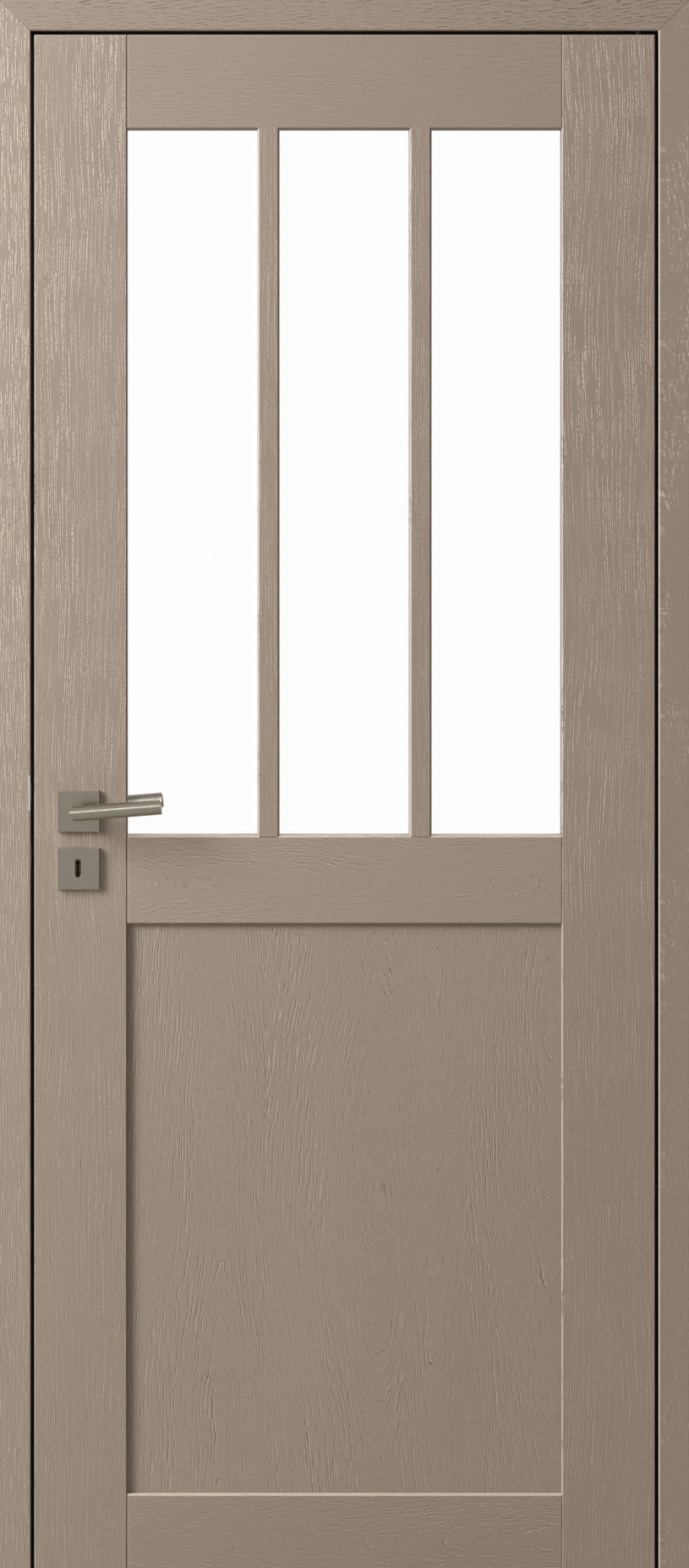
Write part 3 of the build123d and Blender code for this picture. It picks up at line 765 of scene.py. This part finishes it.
# The key guide: its outline, its depth, how far it lies behind the escutcheon's face, and
# the two round ends of its hole, how far they lie from its middle and the waist between them.
GUIDE_WIDTH, GUIDE_HEIGHT = 7.6 * MM, 23.0 * MM
GUIDE_DEPTH = 2.4 * MM
GUIDE_SINK = 3.2 * MM
KEY_ROUND, KEY_REACH, KEY_WAIST = 4.6 * MM, 7.2 * MM, 2.2 * MM
# The levers inside the lock: how many, how far apart, their outline, depth and pocket.
LOCK_LEVERS = 4
LOCK_LEVER_PITCH = 2.2 * MM
LOCK_LEVER_WIDTH, LOCK_LEVER_HEIGHT = 7.4 * MM, 22.8 * MM
LOCK_LEVER_DEPTH = 1.5 * MM
POCKET_WIDTH, POCKET_HEIGHT, POCKET_DEPTH = 2.0 * MM, 4.0 * MM, 0.8 * MM


class DOOR_OT_fit_keyholes(bpy.types.Operator):
    """Set a waisted key guide in each keyhole, and the lock's levers behind them"""

    bl_idname = "door.fit_keyholes"
    bl_label = "Fit keyholes"

    def execute(self, context):
        steel = context.scene.door_steel
        self.fit_guides(brushed_steel("key_guide_bronze", steel.inner, 0.42, "Z"))
        works = tuple(1.6 * c for c in steel.inner)
        self.fit_lock_levers(brushed_steel("lock_works", works, 0.5, "X"))
        return {"FINISHED"}

    def fit_guides(self, metal):
        for side, out in SIDES:
            low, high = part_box(f"{side}_escutcheon")
            face = low.y if out < 0 else high.y
            place = ((low.x + high.x) / 2, face - out * GUIDE_SINK, (low.z + high.z) / 2)
            guide = pierced_plate(
                f"key_guide_{side}",
                slot_points(GUIDE_WIDTH, GUIDE_HEIGHT),
                waisted_points(KEY_ROUND, KEY_REACH, KEY_WAIST),
                0.0,
                -GUIDE_DEPTH,
                ease=0.3 * MM,
            )
            stand(guide, place, (0.0, out, 0.0), UPRIGHT)
            fit(guide, "leaf", metal)

    def fit_lock_levers(self, metal):
        low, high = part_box("mortise_lock")
        plate_low, plate_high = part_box("front_escutcheon")
        key_x, key_z = (plate_low.x + plate_high.x) / 2, (plate_low.z + plate_high.z) / 2
        first_y = (low.y + high.y - (LOCK_LEVERS - 1) * LOCK_LEVER_PITCH - LOCK_LEVER_DEPTH) / 2
        for number in range(LOCK_LEVERS):
            lever = pierced_plate(
                f"lock_lever_{number + 1}",
                slot_points(LOCK_LEVER_WIDTH, LOCK_LEVER_HEIGHT),
                slot_points(POCKET_WIDTH, POCKET_HEIGHT),
                0.0,
                -LOCK_LEVER_DEPTH,
                pocket=-POCKET_DEPTH,
                ease=0.2 * MM,
            )
            place = (key_x, first_y + number * LOCK_LEVER_PITCH, key_z)
            stand(lever, place, (0.0, -1.0, 0.0), UPRIGHT)
            fit(lever, "leaf", metal)


# How far the screws lie from the ends of the forend and the strike plate.
FOREND_INSET, STRIKE_INSET = 12.0 * MM, 13.0 * MM
# How far in front of the rose a lever's grub screw sits, and how far below the neck's middle.
GRUB_OUT, GRUB_DROP = 9.0 * MM, 9.5 * MM
GRUB_RADIUS, GRUB_SOCKET_RADIUS = 2.2 * MM, 1.15 * MM


class DOOR_OT_drive_screws(bpy.types.Operator):
    """Drive the screws of the forend and the strike, and the grub screws of the levers"""

    bl_idname = "door.drive_screws"
    bl_label = "Drive screws"

    def execute(self, context):
        steel = context.scene.door_steel
        metal = brushed_steel("screw_steel", steel.plain, 0.3, "Y")
        lock_low, lock_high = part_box("mortise_lock")
        strike_low, strike_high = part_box("strike_plate")
        middle = (lock_low.y + lock_high.y) / 2
        forend = (lock_low.z + FOREND_INSET, lock_high.z - FOREND_INSET)
        strike = (strike_low.z + STRIKE_INSET, strike_high.z - STRIKE_INSET)
        for plate, face_x, out, levels, body in (
            ("forend", lock_low.x, -1.0, forend, "leaf"),
            ("strike", strike_high.x, 1.0, strike, "frame"),
        ):
            for end, level in zip(("low", "high"), levels):
                head = self.screw_head(f"{plate}_screw_{end}", steel.screw_d)
                stand(head, (face_x, middle, level), (out, 0.0, 0.0), UPRIGHT)
                fit(head, body, metal)
        for side, out in SIDES:
            low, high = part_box(f"{side}_rose")
            face = low.y if out < 0 else high.y
            place = ((low.x + high.x) / 2, face + out * GRUB_OUT, (low.z + high.z) / 2 - GRUB_DROP)
            grub = self.grub_screw(f"grub_screw_{side}")
            stand(grub, place, (0.0, 0.0, -1.0), (0.0, 1.0, 0.0))
            fit(grub, "levers", metal)
        return {"FINISHED"}

    def screw_head(self, name, diameter):
        """A low round head with a cross recess."""
        return pierced_plate(
            name,
            ring_points(diameter / 2, 28),
            cross_points(0.6 * diameter, 0.16 * diameter),
            0.25 * MM,
            -1.0 * MM,
            pocket=-0.9 * MM,
            ease=0.25 * MM,
        )

    def grub_screw(self, name):
        """A flush screw with a hexagon socket."""
        return pierced_plate(
            name,
            ring_points(GRUB_RADIUS, 24),
            ring_points(GRUB_SOCKET_RADIUS, 6),
            0.1 * MM,
            -1.6 * MM,
            pocket=-1.2 * MM,
            ease=0.2 * MM,
        )


class DOOR_OT_fit_seals(bpy.types.Operator):
    """Finish the seals in matt rubber"""

    bl_idname = "door.fit_seals"
    bl_label = "Fit seals"

    def execute(self, context):
        colour = tuple(context.scene.door_steel.rubber)
        finish = Finish("seal_rubber")
        spot = finish.place()
        grit = finish.noise(*[c * 900.0 for c in spot], 3.0)
        bloom = finish.noise(*[c * 14.0 for c in spot], 2.0)
        finish.set_surface(
            {
                "Base Color": finish.mix(colour, tuple(2.2 * c for c in colour), bloom),
                "Roughness": 0.62 + grit * 0.2,
                "Normal": finish.bump(grit, 0.2, 0.1 * MM),
            }
        )
        dress(("latch_seal", "hinge_seal", "head_seal"), finish.material)
        return {"FINISHED"}


def area_light(name, place, target, size, power, colour):
    """A rectangular light of the width and height given, which looks at the target."""
    data = bpy.data.lights.new(name, "AREA")
    data.shape = "RECTANGLE"
    data.size, data.size_y = size
    data.energy = power
    data.color = colour
    lamp = bpy.data.objects.new(name, data)
    lamp.location = place
    lamp.rotation_euler = (Vector(target) - Vector(place)).to_track_quat("-Z", "Y").to_euler()
    lamp.visible_camera = False
    bpy.context.scene.collection.objects.link(lamp)
    return lamp


def studio_world(fill):
    """Even soft light. Seen directly or through glass the ground is white; metal sees it
    white behind the door and pale grey towards the room."""
    world = bpy.data.worlds.new("studio")
    world.use_nodes = True
    sky = Nodes(world.node_tree)

    def ray(kind):
        return sky.node("ShaderNodeLightPath", output=f"Is {kind} Ray")

    def background(colour, strength):
        sockets = {"Color": (*colour, 1.0), "Strength": strength}
        return sky.node("ShaderNodeBackground", None, sockets)

    def either(share, first, second):
        return sky.node("ShaderNodeMixShader", None, {0: share, 1: first, 2: second})

    _, y, _ = sky.axes("Generated")
    room_glow = 0.60
    glow = room_glow + (1.0 - room_glow) * sky.smooth(y, 0.6, 0.98)
    seen = ray("Camera").larger(ray("Transmission"))
    soft = background((1.0, 0.95, 0.88), fill)
    metal = either(ray("Glossy"), soft, background((1.0, 0.99, 0.97), glow))
    light = either(seen, metal, background(WHITE, 1.0))
    sky.put(sky.tree.nodes["World Output"].inputs["Surface"], light)
    bpy.context.scene.world = world


class DOOR_OT_set_stage(bpy.types.Operator):
    """Lay the floor, hang the lights and stand the camera"""

    bl_idname = "door.set_stage"
    bl_label = "Set stage"

    def execute(self, context):
        scene = context.scene
        stage = scene.door_stage
        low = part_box("latch_stile")[0]
        middle_x = (low.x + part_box("hinge_stile")[1].x) / 2
        face_y = low.y
        self.lay_floor(context, middle_x, stage.floor)
        self.hang_lights(middle_x, face_y, stage)
        self.stand_camera(scene, middle_x, face_y, stage)
        scene.view_settings.view_transform = "Standard"
        return {"FINISHED"}

    def lay_floor(self, context, middle_x, colour):
        bpy.ops.mesh.primitive_grid_add(x_subdivisions=8, y_subdivisions=8, size=6.0)
        floor = context.object
        floor.name = "floor"
        floor.location = (middle_x, 0.0, CAD_BOX[0][2])
        finish = Finish("pale_floor", Roughness=0.6)
        x, y, z = finish.place()
        speck = finish.noise(x * 30.0, y * 30.0, z, 4.0)
        finish.set_surface(
            {
                "Base Color": finish.mix(tuple(0.97 * c for c in colour), tuple(colour), speck),
                "Normal": finish.bump(speck, 0.05, 1.0 * MM),
            }
        )
        floor.data.materials.append(finish.material)

    def hang_lights(self, middle_x, face_y, stage):
        """A key light high on the latch side, a strip that shows only in
        reflections, and a soft light behind the door."""
        studio_world(stage.fill)
        key = (middle_x - 2.68, face_y - 1.7, 2.40)
        leaf_middle = (middle_x, face_y, 1.15)
        area_light("key", key, leaf_middle, (1.4, 1.9), stage.key_power, (0.99, 0.99, 1.0))
        strip_x = middle_x - 0.3
        overhead = (strip_x, face_y - 3.0, 2.36)
        strip = area_light("strip", overhead, (strip_x, face_y, 1.05), (1.8, 0.14), 12.0, WHITE)
        strip.visible_diffuse = False
        behind = (middle_x + 1.6, 2.6, 2.4)
        area_light("back_fill", behind, (middle_x, 0.0, 1.1), (2.0, 2.0), 60.0, WHITE)

    def stand_camera(self, scene, middle_x, face_y, stage):
        data = bpy.data.cameras.new("camera")
        camera = bpy.data.objects.new("camera", data)
        scene.collection.objects.link(camera)
        picture_height = stage.picture_width * PICTURE_SHAPE
        camera.location = (
            middle_x - stage.camera_side,
            face_y - stage.camera_distance,
            stage.camera_height,
        )
        camera.rotation_euler = (math.radians(90.0), 0.0, 0.0)
        data.sensor_width = 36.0
        data.lens = data.sensor_width * stage.camera_distance / picture_height
        data.shift_x = stage.camera_side / picture_height
        data.shift_y = (stage.picture_middle - stage.camera_height) / picture_height
        scene.camera = camera


class DOOR_PT_sidebar(bpy.types.Panel):
    """The door's tools"""

    bl_label = "Glazed Door"
    bl_idname = "DOOR_PT_sidebar"
    bl_space_type = "VIEW_3D"
    bl_region_type = "UI"
    bl_category = "Door"

    def draw(self, context):
        for group in (context.scene.door_paint, context.scene.door_steel, context.scene.door_stage):
            column = self.layout.column(align=True)
            for key in group.__annotations__:
                column.prop(group, key)
        for operator in OPERATORS:
            self.layout.operator(operator.bl_idname)


SETTINGS = {
    "door_paint": DoorPaintSettings,
    "door_steel": DoorSteelSettings,
    "door_stage": DoorStageSettings,
}
OPERATORS = (
    DOOR_OT_paint_boards,
    DOOR_OT_glaze,
    DOOR_OT_finish_furniture,
    DOOR_OT_finish_lock,
    DOOR_OT_fit_keyholes,
    DOOR_OT_drive_screws,
    DOOR_OT_fit_seals,
    DOOR_OT_set_stage,
)


def register():
    for cls in (*SETTINGS.values(), *OPERATORS, DOOR_PT_sidebar):
        bpy.utils.register_class(cls)
    for name, group in SETTINGS.items():
        setattr(bpy.types.Scene, name, PointerProperty(type=group))


def unregister():
    for name in SETTINGS:
        delattr(bpy.types.Scene, name)
    for cls in reversed((*SETTINGS.values(), *OPERATORS, DOOR_PT_sidebar)):
        bpy.utils.unregister_class(cls)


def main():
    register()
    bpy.ops.door.paint_boards()
    bpy.ops.door.glaze()
    bpy.ops.door.finish_furniture()
    bpy.ops.door.finish_lock()
    bpy.ops.door.fit_keyholes()
    bpy.ops.door.drive_screws()
    bpy.ops.door.fit_seals()
    bpy.ops.door.set_stage()


if __name__ == "__main__":
    main()
